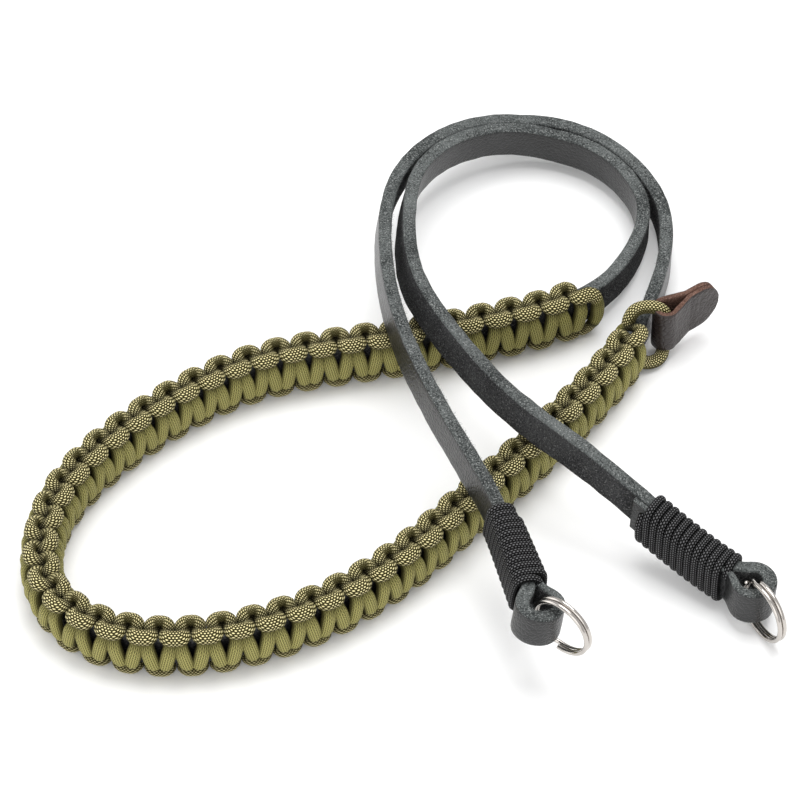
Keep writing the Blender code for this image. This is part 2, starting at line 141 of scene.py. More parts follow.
# The cord's end loop that holds the label tab: how far beyond the first knot, out from the strap's
# middle and above the floor, in cord diameters. Its upper curve lies lower than in the part.
TAB_LOOP = (
    (-0.30, -0.50, 2.70), (-0.02, -0.58, 3.30), (0.20, -0.52, 3.90), (0.52, -0.32, 4.22),
    (0.82, 0.05, 4.36), (1.08, 0.62, 4.40), (1.32, 1.12, 4.15), (1.45, 1.40, 3.60),
    (1.47, 1.43, 2.80), (1.46, 1.43, 1.80), (1.36, 1.46, 1.00), (1.00, 1.55, 0.58),
    (0.40, 1.55, 0.50), (-0.20, 1.20, 0.55), (-0.70, 0.60, 0.85),
)
TAB_LOOP_STATION = 1.47
TAB_LOOP_OFFSET = 1.43
TAB_UNDERSIDE = 1.09
TAB_BEARING = 33

# Half a knot of the front strand, from the middle of its lower turn behind to the middle of its
# upper turn behind: share of the knot's pitch, then forward and up in cord diameters
STRAND_TURN = (
    (0.50, -0.68, -1.66), (0.66, -0.66, -1.65), (0.77, -0.46, -1.58), (0.82, -0.12, -1.43),
    (0.84, 0.20, -1.28), (0.84, 0.55, -1.06), (0.81, 0.86, -0.70), (0.74, 0.93, 0.00),
    (0.67, 0.86, 0.70), (0.64, 0.55, 1.06), (0.65, 0.20, 1.28), (0.68, -0.12, 1.43),
    (0.73, -0.46, 1.58), (0.84, -0.66, 1.65),
)

# The back strand's last turn, which comes down across the end of the braid, from the middle of its
# last upper turn in front: share of the pitch, then forward and up in cord diameters
LAST_TURN = (
    (0.18, 0.76, 1.60), (0.32, 0.90, 1.28), (0.39, 0.98, 0.65), (0.41, 0.98, 0.00),
    (0.37, 0.95, -0.65), (0.26, 0.85, -1.20), (0.10, 0.74, -1.58), (-0.08, 0.66, -1.64),
    (-0.20, 0.45, -1.50), (-0.25, 0.00, -1.30),
)

CAMERA_HEIGHT_ANGLE = 49.3
CAMERA_DISTANCE = 1.0417
CAMERA_LENS = 180

# Linear colours. Raw leather: dark, light and specks
FLESH_TONES = ((0.006, 0.006, 0.007, 1), (0.050, 0.051, 0.052, 1), (0.12, 0.12, 0.12, 1))
CUT_TONES = ((0.016, 0.018, 0.018, 1), (0.120, 0.130, 0.128, 1), (0.24, 0.25, 0.245, 1))
TAB_CUT_TONES = ((0.055, 0.028, 0.020, 1), (0.16, 0.085, 0.062, 1), (0.24, 0.15, 0.12, 1))
# Finished leather: plain and worn
GRAIN_TONES = ((0.006, 0.0062, 0.0065, 1), (0.014, 0.0145, 0.015, 1))
TAB_TONES = ((0.016, 0.010, 0.009, 1), (0.040, 0.024, 0.019, 1))
# Cord: tight weave, raised dots and the gaps between them. The gap colour is also the painted shade on the
# cord's sides and, darkened, where strands pass under each other
OLIVE_TONES = ((0.52, 0.48, 0.17, 1), (0.95, 0.85, 0.45, 1), (0.034, 0.029, 0.006, 1))
BLACK_TONES = ((0.004, 0.004, 0.004, 1), (0.17, 0.17, 0.175, 1), (0.0003, 0.0003, 0.0003, 1))
NAP_COLOUR = (0.13, 0.14, 0.14, 1)
STEEL_COLOUR = (0.50, 0.47, 0.44, 1.0)
FLOOR_COLOUR = (0.93, 0.93, 0.93, 1)
FLOOR_SIZE = 3.0


def smooth_line(points, samples):
    """A natural cubic spline through the points, as many samples and their distance along it."""
    chord = np.r_[0, np.cumsum(np.linalg.norm(np.diff(points, axis=0), axis=1))]
    span = np.diff(chord)
    count = len(points)
    system = np.eye(count)
    load = np.zeros(points.shape)
    for i in range(1, count - 1):
        system[i, i - 1:i + 2] = span[i - 1], 2 * (span[i - 1] + span[i]), span[i]
        after = (points[i + 1] - points[i]) / span[i]
        before = (points[i] - points[i - 1]) / span[i - 1]
        load[i] = 6 * (after - before)
    bend = np.linalg.solve(system, load)
    along = np.linspace(0, chord[-1], samples)
    k = np.clip(np.searchsorted(chord, along, side="right") - 1, 0, count - 2)
    h = span[k][:, None]
    left = (chord[k + 1] - along)[:, None]
    right = (along - chord[k])[:, None]
    line = (bend[k] * left ** 3 + bend[k + 1] * right ** 3) / (6 * h)
    line += (points[k] / h - bend[k] * h / 6) * left + (points[k + 1] / h - bend[k + 1] * h / 6) * right
    distance = np.r_[0, np.cumsum(np.linalg.norm(np.diff(line, axis=0), axis=1))]
    return line, distance


def ramp(distance, length):
    """1 at no distance, 0 from length on, level at both ends."""
    share = np.clip(np.abs(distance) / length, 0, 1)
    return 0.5 * (1 + np.cos(math.pi * share))


def loop_points(inner_turn):
    """The loop's outer or inner turn, in hundredths of the strap's length."""
    nesting = 100 * LAYER_OFFSET / STRAP_LENGTH
    points = []
    for bearing, radius, spread in LOOP_TURNS:
        if inner_turn:
            radius -= nesting + spread
        angle = math.radians(bearing)
        x = LOOP_MIDDLE[0] + radius * math.cos(angle)
        y = LOOP_MIDDLE[1] + radius * math.sin(angle)
        points.append((x, y))
    return points


def unit(rows):
    """Each row at length 1."""
    return rows / np.linalg.norm(rows, axis=-1, keepdims=True)


class Route:
    """The middle of the strap's upper edge, from the left whipping's outer end to the right one's."""

    def __init__(self):
        rows = list(LEFT_RUN) + loop_points(False) + list(BRAID_RUN)
        rows += loop_points(True)[::-1] + list(RIGHT_RUN)
        self.line, self.station = smooth_line(np.array(rows) * STRAP_LENGTH / 100, 6001)
        self.length = self.station[-1]
        self.tangent = unit(np.gradient(self.line, axis=0))
        half = (KNOT_COUNT - 1) * KNOT_PITCH / 2
        self.first_knot = BRAID_MIDDLE * self.length - half
        self.last_knot = BRAID_MIDDLE * self.length + half
        self.braid_start = self.first_knot - 0.1 * KNOT_PITCH
        self.braid_end = self.last_knot + 0.4 * KNOT_PITCH
        self.height = self.heights()

    def crossing(self, first, last):
        """Where the strap enters and leaves the space over the braid, between two stations."""
        inside = (self.station > self.braid_start) & (self.station < self.braid_end)
        braid = self.line[inside][::10]
        reach = (BRAID_THICKNESS + STRAP_THICKNESS) / 2 + CLEARANCE
        over = []
        for point, station in zip(self.line[::5], self.station[::5]):
            near = np.min(np.linalg.norm(braid - point, axis=1)) < reach
            if near and first < station < last:
                over.append(station)
        return over[0], over[-1]

    def heights(self):
        """How high the strap's lower edge lies at each station."""
        s = self.station
        mouth = 3 * BRAID_THICKNESS
        left = self.crossing(0, self.braid_start - mouth)
        right = self.crossing(self.braid_end + mouth, self.length)
        before = np.where(s < left[1], CROSSING_HEIGHT, CROSSING_HEIGHT * ramp(s - left[1], LOOP_SLOPE))
        after = CROSSING_HEIGHT * ramp(np.minimum(s - right[0], 0), LOOP_SLOPE)
        drop = (CROSSING_HEIGHT - RING_END_HEIGHT) * ramp(s - right[1], RING_END_SLOPE)
        after = np.where(s > right[1], RING_END_HEIGHT + drop, after)
        inside = (s >= self.braid_start) & (s <= self.braid_end)
        outside = np.maximum(np.where(s < self.braid_start, before, after), CORE_HEIGHT)
        return np.where(inside, CORE_HEIGHT, outside)

    def frames(self, stations):
        """Upper edge's middle, and the directions along, across to the flesh and up, for each station."""
        stations = np.atleast_1d(np.asarray(stations, float))
        s = np.clip(stations, 0.0, self.length)
        spot = np.stack([np.interp(s, self.station, self.line[:, i]) for i in (0, 1)], axis=1)
        way = unit(np.stack([np.interp(s, self.station, self.tangent[:, i]) for i in (0, 1)], axis=1))
        spot = spot + way * (stations - s)[:, None]
        share, degrees = np.array(LEAN).T
        lean = np.radians(np.interp(s / self.length, share, degrees))
        none = np.zeros(len(s))
        along = np.stack([way[:, 0], way[:, 1], none], axis=1)
        flesh = np.stack([way[:, 1], -way[:, 0], none], axis=1)
        rise = np.array((0.0, 0.0, 1.0))
        sine, cosine = np.sin(lean)[:, None], np.cos(lean)[:, None]
        up = flesh * sine + rise * cosine
        across = flesh * cosine - rise * sine
        bottom = np.interp(s, self.station, self.height)
        top = bottom + STRAP_WIDTH * cosine[:, 0] + STRAP_THICKNESS / 2 * np.abs(sine[:, 0])
        return np.column_stack([spot, top]), along, across, up


# Meshes

def rounded_box(wide, tall, corner, steps, flats):
    """Outline of a box with round corners about (0, 0), anticlockwise, its sides cut in flats."""
    outline = []
    for quarter in range(4):
        across = (wide / 2 - corner) * (1, -1, -1, 1)[quarter]
        upward = (tall / 2 - corner) * (1, 1, -1, -1)[quarter]
        for step in range(steps + 1):
            angle = math.pi / 2 * (quarter + step / steps)
            outline.append((across + corner * math.cos(angle), upward + corner * math.sin(angle)))
    filled = []
    for i, spot in enumerate(outline):
        filled.append(spot)
        ahead = outline[(i + 1) % len(outline)]
        if i % (steps + 1) == steps:
            for k in range(1, flats):
                share = k / flats
                filled.append(tuple(a + (b - a) * share for a, b in zip(spot, ahead)))
    return np.array(filled)


def waves(seed, along, around, shortest, longest, size):
    """Soft unevenness over a surface: one value for each pair of distances along and around."""
    random = np.random.default_rng(seed)
    total = np.zeros(np.broadcast_shapes(along.shape, around.shape))
    for _ in range(14):
        length = shortest * (longest / shortest) ** random.random()
        turn = 2 * math.pi * random.random()
        heading = random.uniform(-1.2, 1.2)
        flow = along * math.cos(heading) + around * math.sin(heading)
        total += np.sin(2 * math.pi * flow / length + turn) * math.sqrt(length / longest)
    return size * total / 3


def grid_object(name, rings, materials, columns=None, sheath=None, layers=None):
    """Faces round and between rings of points, with both ends shut. Layers hold a value for each ring."""
    count, sides, _ = rings.shape
    index = np.arange(count * sides).reshape(count, sides)
    ahead = np.roll(index, -1, axis=1)
    quads = np.stack([index[:-1], ahead[:-1], ahead[1:], index[1:]], axis=-1).reshape(-1, 4)
    faces = quads.tolist() + [index[0][::-1].tolist(), index[-1].tolist()]
    mesh = bpy.data.meshes.new(name)
    mesh.from_pydata((rings.reshape(-1, 3) + ORIGIN).tolist(), [], faces)
    for mat in materials:
        mesh.materials.append(mat)
    if columns is not None:
        kinds = np.r_[np.tile(columns, count - 1), columns[0], columns[0]]
        mesh.polygons.foreach_set("material_index", kinds.astype(np.int32))
    if sheath is not None:
        turn = np.arange(sides) / sides
        low = np.broadcast_to(turn, (count - 1, sides))
        high = low + 1 / sides
        one = np.broadcast_to(sheath[:-1, None], low.shape)
        two = np.broadcast_to(sheath[1:, None], low.shape)
        corners = np.stack([one, low, one, high, two, high, two, low], axis=-1).reshape(-1, 2)
        ends = np.zeros((2 * sides, 2))
        ends[:sides, 0] = sheath[0]
        ends[sides:, 0] = sheath[-1]
        layer = mesh.uv_layers.new(name="sheath")
        layer.data.foreach_set("uv", np.concatenate([corners, ends]).astype(np.float32).ravel())
    for label, values in (layers or {}).items():
        spread = np.repeat(np.broadcast_to(values, count), sides)
        layer = mesh.attributes.new(label, "FLOAT", "POINT")
        layer.data.foreach_set("value", spread.astype(np.float32))
    mesh.shade_smooth()
    mesh.update()
    thing = bpy.data.objects.new(name, mesh)
    bpy.context.scene.collection.objects.link(thing)
    return thing


def tube(name, path, outward, wide, deep, sides, mat, rows=None, layers=None):
    """A round cord along a path. Outward leads away from the core; wide and deep are its radii."""
    along = unit(np.gradient(path, axis=0))
    out = unit(outward - along * np.sum(outward * along, axis=1, keepdims=True))
    side = np.cross(along, out)
    angle = 2 * math.pi * np.arange(sides) / sides
    wide = np.broadcast_to(wide, len(path))[:, None, None]
    deep = np.broadcast_to(deep, len(path))[:, None, None]
    rings = path[:, None] + out[:, None] * deep * np.cos(angle)[None, :, None]
    rings = rings + side[:, None] * wide * np.sin(angle)[None, :, None]
    return grid_object(name, rings, [mat], sheath=rows, layers=layers)


def resample(path, spacing):
    """The path's rows at even distances; its first three columns are a place."""
    distance = np.r_[0, np.cumsum(np.linalg.norm(np.diff(path[:, :3], axis=0), axis=1))]
    steps = np.linspace(0, distance[-1], max(3, int(distance[-1] / spacing) + 1))
    return np.stack([np.interp(steps, distance, path[:, i]) for i in range(path.shape[1])], axis=1), steps


# Leather strap

def eye_path():
    """The folded end seen from above: distance beyond the whipping and out to the flesh side."""
    middle = TAIL_OFFSET / 2
    widest = EYE_WIDEST * EYE_LENGTH
    half = EYE_RADIUS + STRAP_THICKNESS / 2
    side = []
    for share in (0.05, 0.18, 0.32, 0.46, 0.60, 0.80):
        swell = share * share * (3 - 2 * share)
        side.append((widest * share, middle + (half - middle) * swell))
    steps = 7
    for i in range(steps):
        angle = math.pi / 2 * i / steps
        side.append((widest + (EYE_LENGTH - widest) * math.sin(angle), half * math.cos(angle)))
    near = [(beyond, middle - out) for beyond, out in side]
    far = [(beyond, middle + out) for beyond, out in reversed(side)]
    return near + [(EYE_LENGTH, middle)] + far


def tail_thickness(outward, back):
    """Thickness of the pared tail. The left one thins out and ends inside its whipping."""
    if outward > 0:
        return TAIL_THICKNESS
    share = back / (TAIL_SHARE * WHIPPING_LENGTH)
    if share > 1:
        return 0.0
    return TAIL_THICKNESS * (1 - (1 - TAIL_TIP) * max(share, 0.0))


def folded_end(route, outward):
    """Rows of the eye and the tail: upper edge's middle, up, and the leather's thickness."""
    base = 0.0 if outward < 0 else route.length
    rows = []
    path = eye_path()
    for i, (along_end, to_flesh) in enumerate(path):
        pared = max(0.0, 2 * i / (len(path) - 1) - 1)
        thick = STRAP_THICKNESS + (TAIL_THICKNESS - STRAP_THICKNESS) * pared
        top, _, across, up = (part[0] for part in route.frames(base + outward * along_end))
        rows.append((*(top + across * to_flesh), *up, thick))
    tail = TAIL_SHARE * WHIPPING_LENGTH if outward < 0 else WHIPPING_LENGTH + TAIL_STUB
    for share in (0.02, 0.2, 0.4, 0.6, 0.8, 1.0):
        thick = tail_thickness(outward, tail * share)
        top, _, across, up = (part[0] for part in route.frames(base - outward * tail * share))
        to_flesh = STRAP_THICKNESS / 2 + CLEARANCE + thick / 2
        rows.append((*(top + across * to_flesh), *up, thick))
    return np.array(rows)


def strap_rows(route, spacing):
    """The whole strap with both folded ends: upper edge's middle, up, and thickness."""
    stations = np.linspace(0, route.length, int(route.length / spacing) + 1)
    top, _, _, up = route.frames(stations)
    middle = np.column_stack([top, up, np.full(len(top), STRAP_THICKNESS)])
    left = smooth_line(folded_end(route, -1)[::-1], 160)[0]
    right = smooth_line(folded_end(route, 1), 160)[0]
    return resample(np.concatenate([left, middle, right]), spacing)


def leather_strap(route, mats, fine):
    """The strap's skin: grain on one face, flesh on the other, cut edges above and below."""
    rows, steps = strap_rows(route, 0.0008 if fine else 0.002)
    top, up, thick = rows[:, :3], unit(rows[:, 3:6]), rows[:, 6]
    along = unit(np.gradient(top, axis=0))
    across = unit(np.cross(along, up))
    outline = rounded_box(STRAP_THICKNESS, STRAP_WIDTH, STRAP_EDGE_ROUND, 3, 6)[::-1]
    sideways = outline[:, 0] / (STRAP_THICKNESS / 2)
    upright = outline[:, 1]
    edge = np.abs(upright) > STRAP_WIDTH / 2 - STRAP_EDGE_ROUND * 0.6
    columns = np.where(edge, 2, np.where(sideways > 0, 1, 0))
    round_way = np.cumsum(np.r_[0, np.linalg.norm(np.diff(outline, axis=0), axis=1)])
    uneven = waves(3, steps[:, None], round_way[None], 0.0035, 0.02, 0.00005)
    crown = 0.00012 * (1 - sideways ** 2) * np.sign(upright) * edge
    centre = top - up * STRAP_WIDTH / 2
    flat = sideways[None] * (thick[:, None] / 2 + uneven)
    tall = upright[None] + (crown + np.sign(upright) * edge * uneven)
    rings = centre[:, None] + across[:, None] * flat[..., None] + up[:, None] * tall[..., None]
    strap = grid_object("leather_strap_skin", rings, mats, columns=columns)
    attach(strap, "root")
    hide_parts("leather_strap")
    return top, up, across, thick, along


def leather_fibres(shape, mat, count):
    """Loose fibres that stand off the flesh side and the cut edge."""
    top, up, across, thick, along = shape
    random = np.random.default_rng(11)
    pick = random.integers(2, len(top) - 2, count)
    high = np.where(random.random(count) < 0.65, 0.0, random.random(count) ** 1.6 * 0.8) * STRAP_WIDTH
    root = top[pick] + across[pick] * (thick[pick] / 2)[:, None] * random.uniform(0.72, 1.0, count)[:, None]
    root = root - up[pick] * (high + 0.00012)[:, None]
    slide = random.uniform(-1, 1, count)[:, None]
    lift = random.uniform(0.1, 0.9, count)[:, None]
    out = random.uniform(0.25, 1.0, count)[:, None]
    heading = unit(along[pick] * slide + up[pick] * lift + across[pick] * out)
    size = random.uniform(0.00025, 0.0010, count)[:, None]
    droop = unit(np.cross(heading, up[pick])) * random.uniform(-0.5, 0.5, count)[:, None]
    half = unit(np.cross(heading, across[pick] + 0.3 * along[pick])) * 0.000016
    middle = root + heading * size * 0.55 + droop * size * 0.2
    tip = root + heading * size + droop * size * 0.6
    verts = np.stack([root - half, root + half, middle + half, middle - half, tip], axis=1)
    faces = []
    for i in range(count):
        at = 5 * i
        faces.append((at, at + 1, at + 2, at + 3))
        faces.append((at + 3, at + 2, at + 4))
    mesh = bpy.data.meshes.new("leather_fibres")
    mesh.from_pydata((verts.reshape(-1, 3) + ORIGIN).tolist(), [], faces)
    mesh.materials.append(mat)
    thing = bpy.data.objects.new("leather_fibres", mesh)
    bpy.context.scene.collection.objects.link(thing)
    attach(thing, "root")


# Cord braid

def strand_line(back_strand):
    """One strand in the braid's own lengths: distance along the strap, forward and up."""
    rows = []
    for half_knot in range(0, 2 * KNOT_COUNT - 1):
        way = 1 if half_knot % 2 == 0 else -1
        for share, forward, high in STRAND_TURN:
            rows.append((share - 0.5 + half_knot * 0.5, forward, way * high))
    rows = np.array(rows)
    last = KNOT_COUNT - 1
    if back_strand:
        rows[:, 0] += 0.5
        rows[:, 1] *= -1
        rows = rows[(rows[:, 0] > -0.12) & (rows[:, 0] < last + 0.02)]
        rows = np.concatenate([rows, np.array(LAST_TURN) + (last, 0, 0)])
    else:
        rows = rows[(rows[:, 0] > -0.34) & (rows[:, 0] < last - 0.10)]
    return rows * np.array((KNOT_PITCH, CORD_DIAMETER, CORD_DIAMETER))


def strand(route, name, back_strand, mat, fine):
    """One strand of the braid, flat on the faces, pinched where it dives and open over the edges, with
    shade painted into its colour where it passes under the other strand.
    """
    rows = strand_line(back_strand)
    line, steps = resample(smooth_line(rows, len(rows) * 12)[0], 0.0006 if fine else 0.0012)
    distance, forward, high = line.T
    top, _, across, up = route.frames(route.first_knot + distance)
    centre = top - up * STRAP_WIDTH / 2
    path = centre + across * forward[:, None] + up * high[:, None]
    ahead = forward / CORD_DIAMETER
    height = np.abs(high) / CORD_DIAMETER
    edge = np.sign(high) * np.maximum(height - 0.9, 0) / 0.76
    outward = across * (ahead / 0.66)[:, None] + up * edge[:, None]
    turn = np.clip((height - 0.95) / 0.35, 0, 1)
    openness = turn * turn * (3 - 2 * turn)
    row = BAR_ROW + (TURN_ROW - BAR_ROW) * openness
    rows_on = np.r_[0, np.cumsum(np.diff(steps) / row[1:])]
    pinch = np.exp(-(ahead / 0.34) ** 2)
    neck = np.exp(-((height - 0.95) / 0.3) ** 2)
    deep = (BAR_DEEP + (TURN_DEEP - BAR_DEEP) * openness) * (1 - 0.20 * pinch)
    wide = (BAR_WIDE + (TURN_WIDE - BAR_WIDE) * openness) * (1 - 0.40 * pinch) * (1 - 0.10 * neck)
    # Painted shade: dark where the strand dives under the other one at the edges, a dark line between a bar
    # and the turn below it, and lighter shade at the neck above; the lower turns get only half of the
    # painted side shade.
    inward = ahead if back_strand else -ahead
    sunk = 1 - np.clip((inward + 0.02) / 0.44, 0, 1)
    over_edge = np.clip((height - 0.88) / 0.25, 0, 1)
    tuck = np.exp(-((height - 1.06) / 0.17) ** 2)
    shade = np.maximum(sunk * over_edge, np.where(high < 0, 0.95 * tuck, 0.45 * neck))
    side_shade_amount = np.clip((high / CORD_DIAMETER + 1.5) / 0.4, 0.5, 1)
    layers = {"open": openness, "shade": shade, "side_shade_amount": side_shade_amount}
    thing = tube(name, path, outward, wide, deep, 16 if fine else 10, mat, rows_on, layers)
    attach(thing, "root")
    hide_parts("paracord_braid")


def tab_loop(route, mat):
    """The cord's end loop, which passes through the tab's fold."""
    top, along, across, _ = (part[0] for part in route.frames(route.first_knot))
    points = []
    for beyond, out, height in TAB_LOOP:
        spot = top - along * beyond * CORD_DIAMETER - across * out * CORD_DIAMETER
        spot[2] = height * CORD_DIAMETER
        points.append(spot)
    line, _ = resample(smooth_line(np.array(points), 400)[0], LOOP_STEP)
    # The loop's outer side points up, so that the painted side shade falls on its flanks and underside.
    outward = line - np.mean(line, axis=0) + (0, 0, 5 * CORD_DIAMETER)
    rows_on = np.arange(len(line)) * LOOP_STEP / LOOP_ROW
    layers = {"open": 1, "side_shade_amount": 1}
    thing = tube("tab_cord_loop", line, outward, LOOP_RADIUS, LOOP_RADIUS, 20, mat, rows_on, layers)
    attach(thing, "root")
    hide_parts("paracord_braid")


# Whippings

def whipping(route, name, node, outward, mat, fine):
    """One cord wound in turns round both layers of a folded end."""
    base = 0.0 if outward < 0 else route.length
    per_turn = 72 if fine else 36
    count = per_turn * WHIPPING_TURNS + 1
    turns = np.linspace(0, WHIPPING_TURNS, count)
    back = turns * WHIPPING_CORD
    path = []
    outs = []
    top, _, across, up = route.frames(base - outward * back)
    for i in range(count):
        tail = tail_thickness(outward, back[i])
        if tail:
            tail += CLEARANCE
        wide = STRAP_THICKNESS + tail + CLEARANCE + WHIPPING_RISE
        tall = STRAP_WIDTH + CLEARANCE + WHIPPING_RISE
        outline = rounded_box(wide, tall, WHIPPING_CORNER, 4, 6)
        loop = np.concatenate([outline, outline[:1]])
        distance = np.r_[0, np.cumsum(np.linalg.norm(np.diff(loop, axis=0), axis=1))]
        at = (turns[i] % 1.0) * distance[-1]
        a = np.interp(at, distance, loop[:, 0])
        b = np.interp(at, distance, loop[:, 1])
        centre = top[i] - up[i] * STRAP_WIDTH / 2 + across[i] * tail / 2
        tuck = 0.6 + 0.4 * min(1, 8 * turns[i], 8 * (WHIPPING_TURNS - turns[i]))
        a *= 1 + 0.12 * (1 - (2 * b / tall) ** 2)
        b *= 1 + 0.05 * (1 - (2 * a / wide) ** 2) * (abs(2 * b / tall) > 0.9)
        path.append(centre + (across[i] * a + up[i] * b) * tuck)
        out = np.array((a / wide, b / tall)) ** 3
        outs.append(across[i] * out[0] + up[i] * out[1])
    path, outs = np.array(path), np.array(outs)
    ease = smooth_rows(path, 5)
    steps = np.r_[0, np.cumsum(np.linalg.norm(np.diff(ease, axis=0), axis=1))]
    deep = WHIPPING_RISE / 2 + 0.00012
    # Each turn gets the full painted side shade where it meets its neighbours.
    layers = {"open": 0.75, "side_shade_amount": 1}
    rows_on = steps / WHIPPING_ROW
    thing = tube(name, ease, outs, WHIPPING_CORD / 2 + 0.00002, deep, 14, mat, rows_on, layers)
    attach(thing, "root")
    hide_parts(node)


def smooth_rows(rows, width):
    """A running mean of the rows, with the ends held."""
    kernel = np.hanning(width + 2)[1:-1]
    kernel /= kernel.sum()
    before = np.repeat(rows[:1], width // 2, 0)
    after = np.repeat(rows[-1:], width // 2, 0)
    padded = np.concatenate([before, rows, after])
    return np.stack([np.convolve(padded[:, i], kernel, "valid") for i in range(3)], axis=1)


# Split rings

def split_ring(route, node, outward, bearing, end, mat, fine):
    """Two turns of wire through the eye, standing on edge. Bearing and the ends' place in degrees."""
    base = 0.0 if outward < 0 else route.length
    top, _, across, up = (part[0] for part in route.frames(base + outward * RING_SEAT * EYE_LENGTH))
    middle = top - up * STRAP_WIDTH / 2 + across * TAIL_OFFSET / 2
    radius = (RING_DIAMETER - RING_WIRE) / 2
    angle = math.radians(bearing)
    out = np.array((math.cos(angle), math.sin(angle), 0.0))
    normal = np.array((-math.sin(angle), math.cos(angle), 0.0))
    rise = np.array((0.0, 0.0, 1.0))
    centre = middle + out * radius
    pitch = RING_WIRE + CLEARANCE / 3
    step_over = math.radians(RING_STEP)
    turn = np.linspace(step_over, 4 * math.pi - step_over, 400 if fine else 120)
    stepped = np.clip((turn - 2 * math.pi) / step_over, -1, 1)
    offset = pitch / 2 * np.sin(math.pi / 2 * stepped)
    turn = turn + math.radians(end)
    way = out * np.cos(turn)[:, None] + rise * np.sin(turn)[:, None]
    path = centre + radius * way + normal * offset[:, None]
    thing = tube(node + "_wire", path, way, RING_WIRE / 2, RING_WIRE / 2, 20, mat)
    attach(thing, "root")
    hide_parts(node)


# Label tab

def tab_path():
    """The folded tab seen from above, from one free end round the cord to the other."""
    radius = (CORD_DIAMETER + TAB_THICKNESS) / 2 + CLEARANCE
    half = (TAB_THICKNESS + CLEARANCE) / 2
    meet = 2.4 * radius
    reach = TAB_LENGTH - radius
    straight = []
    for share in (0, 0.02, 0.05, 0.1, 0.2, 0.35, 0.6, 0.85, 1):
        straight.append((reach + (meet - reach) * share, half))
    turn = math.radians(62)
    arc = []
    steps = 24
    for i in range(steps + 1):
        angle = turn + (2 * math.pi - 2 * turn) * i / steps
        arc.append((radius * math.cos(angle), radius * math.sin(angle)))
    return straight + arc + [(u, -v) for u, v in reversed(straight)]


def label_tab(route, mats, fine):
    """The folded tab, finished leather outside and raw leather inside and at its edges."""
    top, along, across, _ = (part[0] for part in route.frames(route.first_knot))
    middle = top - along * TAB_LOOP_STATION * CORD_DIAMETER - across * TAB_LOOP_OFFSET * CORD_DIAMETER
    bearing = math.radians(TAB_BEARING)
    out = np.array((math.cos(bearing), math.sin(bearing), 0.0))
    side = np.array((-math.sin(bearing), math.cos(bearing), 0.0))
    path, steps = resample(np.array([(u, v, 0.0) for u, v in tab_path()]), 0.0003 if fine else 0.0008)
    direction = unit(np.gradient(path, axis=0))
    reach = path[:, 0].max()
    round_radius = TAB_WIDTH / 2
    into = np.clip((path[:, 0] - (reach - round_radius)) / round_radius, 0, 1)
    half = round_radius * np.sqrt(np.maximum(1 - into ** 2.4, 0.03))
    height = TAB_UNDERSIDE * CORD_DIAMETER + TAB_WIDTH / 2 + 0.10 * np.maximum(0.0, path[:, 0])
    normal = out[None] * direction[:, 1:2] - side[None] * direction[:, :1]
    centre = np.stack([np.full(len(path), middle[0]), np.full(len(path), middle[1]), height], axis=1)
    centre = centre + out * path[:, :1] + side * path[:, 1:2]
    outline = rounded_box(TAB_THICKNESS, 2.0, 0.00025, 2, 12)
    sideways = outline[:, 0]
    upright = np.clip(outline[:, 1], -1, 1)
    edge = np.abs(outline[:, 1]) > 1 - 0.00015
    columns = np.where(edge | (sideways < 0), 1, 0)
    uneven = waves(7, steps[:, None], (upright * round_radius)[None], 0.002, 0.009, 0.00010)
    flat = sideways[None] + np.sign(sideways)[None] * uneven * 0.45
    tall = upright[None] * half[:, None]
    rise = np.array((0.0, 0.0, 1.0))
    rings = centre[:, None] + normal[:, None] * flat[..., None] + rise * tall[..., None]
    thing = grid_object("label_tab_skin", rings, mats, columns=columns)
    thing.data.flip_normals()
    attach(thing, "root")
    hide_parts("label_tab")


# Shader node groups and materials

class Graph:
    """Adds nodes to a tree. Inputs are given by name or place, as a socket or a plain value."""

    def __init__(self, tree):
        self.tree = tree

    def add(self, kind, inputs=None, **settings):
        node = self.tree.nodes.new(kind)
        for key, value in settings.items():
            setattr(node, key, value)
        for key, value in (inputs or {}).items():
            self.put(node.inputs[key], value)
        return node

    def put(self, socket, value):
        if isinstance(value, bpy.types.NodeSocket):
            self.tree.links.new(value, socket)
        else:
            socket.default_value = value

    def math(self, operation, *values, clamp=False):
        inputs = dict(enumerate(values))
        return self.add("ShaderNodeMath", inputs, operation=operation, use_clamp=clamp).outputs[0]

    def mix(self, share, one, two):
        node = self.add("ShaderNodeMix", data_type="RGBA")
        self.put(node.inputs["Factor"], share)
        self.put(node.inputs[6], one)
        self.put(node.inputs[7], two)
        return node.outputs[2]

    def blend(self, share, one, two):
        node = self.add("ShaderNodeMix", data_type="FLOAT")
        self.put(node.inputs["Factor"], share)
        self.put(node.inputs[2], one)
        self.put(node.inputs[3], two)
        return node.outputs[0]

    def noise(self, place, scale, detail, roughness=0.5):
        inputs = {"Vector": place, "Scale": scale, "Detail": detail, "Roughness": roughness}
        return self.add("ShaderNodeTexNoise", inputs).outputs["Fac"]

    def span(self, value, low, high, to_low=0.0, to_high=1.0):
        inputs = {0: value, 1: low, 2: high, 3: to_low, 4: to_high}
        return self.add("ShaderNodeMapRange", inputs, interpolation_type="SMOOTHSTEP").outputs[0]


def new_group(name, inputs, outputs):
    tree = bpy.data.node_groups.new(name, "ShaderNodeTree")
    for label, kind in inputs:
        tree.interface.new_socket(name=label, in_out="INPUT", socket_type="NodeSocket" + kind)
    for label, kind in outputs:
        tree.interface.new_socket(name=label, in_out="OUTPUT", socket_type="NodeSocket" + kind)
    graph = Graph(tree)
    return graph, graph.add("NodeGroupInput").outputs, graph.add("NodeGroupOutput")


